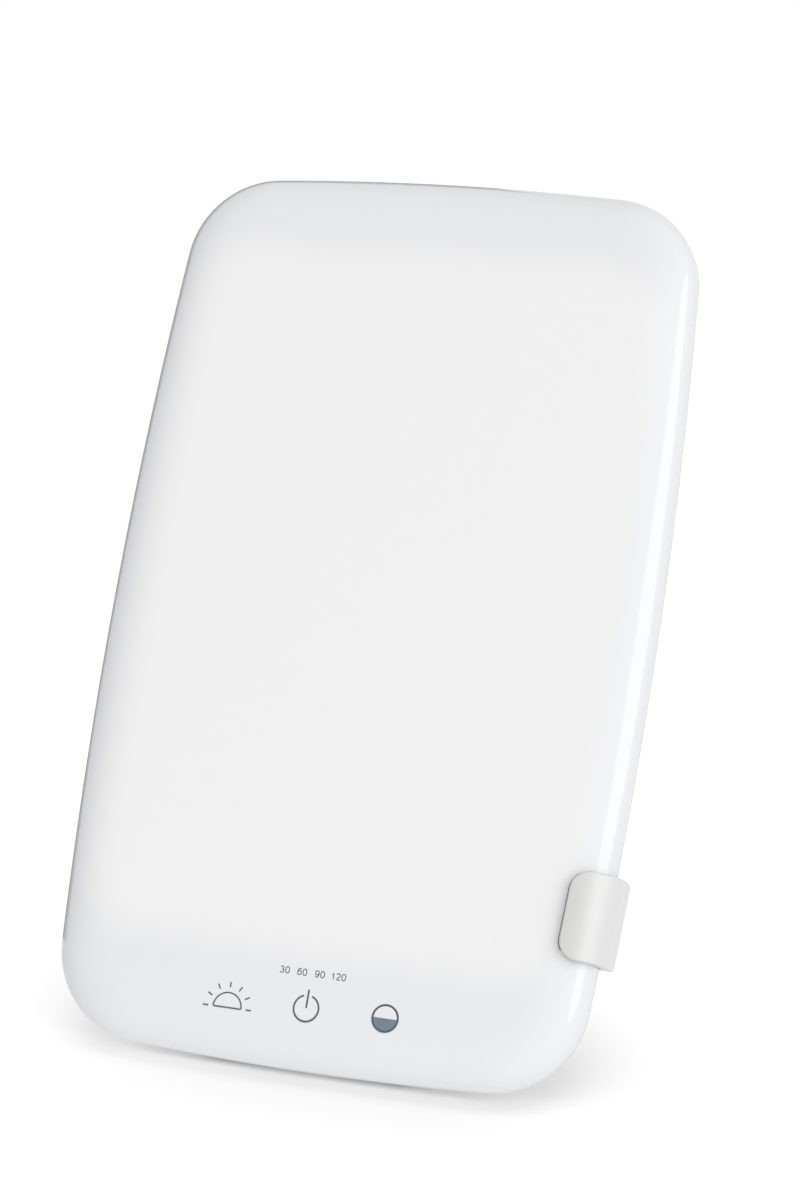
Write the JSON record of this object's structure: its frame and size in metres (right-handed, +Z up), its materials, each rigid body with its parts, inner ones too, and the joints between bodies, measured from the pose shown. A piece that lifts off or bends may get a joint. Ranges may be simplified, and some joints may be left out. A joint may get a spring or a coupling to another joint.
{
  "type": "light therapy lamp",
  "caption": "Slim tablet-shaped light therapy panel with touch fields, leaning on a clip-on stand with a folding leg.",
  "frame": {"origin": "middle of the bounding box, on the table that the lamp's feet and the leg's foot stand on", "axes": "+Z is up, the lit front faces -Y and leans back, +X is to the viewer's right, where the stand's clip is"},
  "size_m": [0.2014, 0.169, 0.2815],
  "materials": {
    "cover_opal": "glossy opal moulding",
    "cover_white": "fine-textured moulding",
    "screw_steel": "zinc plated",
    "diffuser_sheet": "matt sheet",
    "clear_film": "prismatic film",
    "clear_acrylic": "clear sheet",
    "white_film": "white film",
    "frame_white": "moulded",
    "pan_aluminium": "mill finish",
    "board_white": "solder resist",
    "led_phosphor": "resin",
    "board_green": "solder resist",
    "conductive_foam": "open foam",
    "chip_black": "moulded",
    "shield_black": "moulded",
    "ribbon_white": "flat cable",
    "can_aluminium": "drawn can",
    "connector_ivory": "moulded",
    "pin_plated": "nickel plated",
    "lead_red": "insulation",
    "lead_black": "insulation",
    "lead_white": "insulation",
    "foot_rubber": "soft",
    "stand_grey": "fine-textured moulding",
    "pad_rubber": "soft",
    "washer_nylon": "moulded"
  },
  "bodies": {
    "lamp": {"front_cover": "cover_opal", "rear_cover": "cover_white", "cover_screws": "screw_steel", "diffuser_plate": "diffuser_sheet", "prism_film": "clear_film", "diffuser_film": "diffuser_sheet", "light_guide": "clear_acrylic", "reflector_film": "white_film", "mid_frame": "frame_white", "back_pan": "pan_aluminium", "led_board_left": "board_white", "led_board_right": "board_white", "leds_left": "led_phosphor", "leds_right": "led_phosphor", "touch_board": "board_green", "touch_electrodes": "conductive_foam", "touch_chip": "chip_black", "indicator_shield": "shield_black", "indicator_leds": "led_phosphor", "touch_cable": "ribbon_white", "driver_board": "board_green", "driver_screws": "screw_steel", "driver_inductor": "chip_black", "driver_capacitors": "can_aluminium", "driver_chips": "chip_black", "board_connectors": "connector_ivory", "dc_jack": "chip_black", "dc_jack_pin": "pin_plated", "jack_lead_live": "lead_red", "jack_lead_return": "lead_black", "led_lead_left": "lead_white", "led_lead_right": "lead_white", "base_feet": "foot_rubber"},
    "stand": {"stand_bracket": "stand_grey", "clip_pad": "pad_rubber", "hinge_pin": "pin_plated", "pin_retainer": "pin_plated", "hinge_washers": "washer_nylon"},
    "leg": {"support_leg": "stand_grey", "leg_foot": "foot_rubber"}
  },
  "joints": [
    {"name": "stand_slide", "type": "slide", "parent": "lamp", "child": "stand", "axis": [1, 0, 0], "range_m": [0, 0.15]},
    {"name": "leg_hinge", "type": "hinge", "parent": "stand", "child": "leg", "pos_m": [-0.00072, -0.01462, 0.08538], "axis": [1, 0, 0], "range_deg": [-60, 0]}
  ]
}
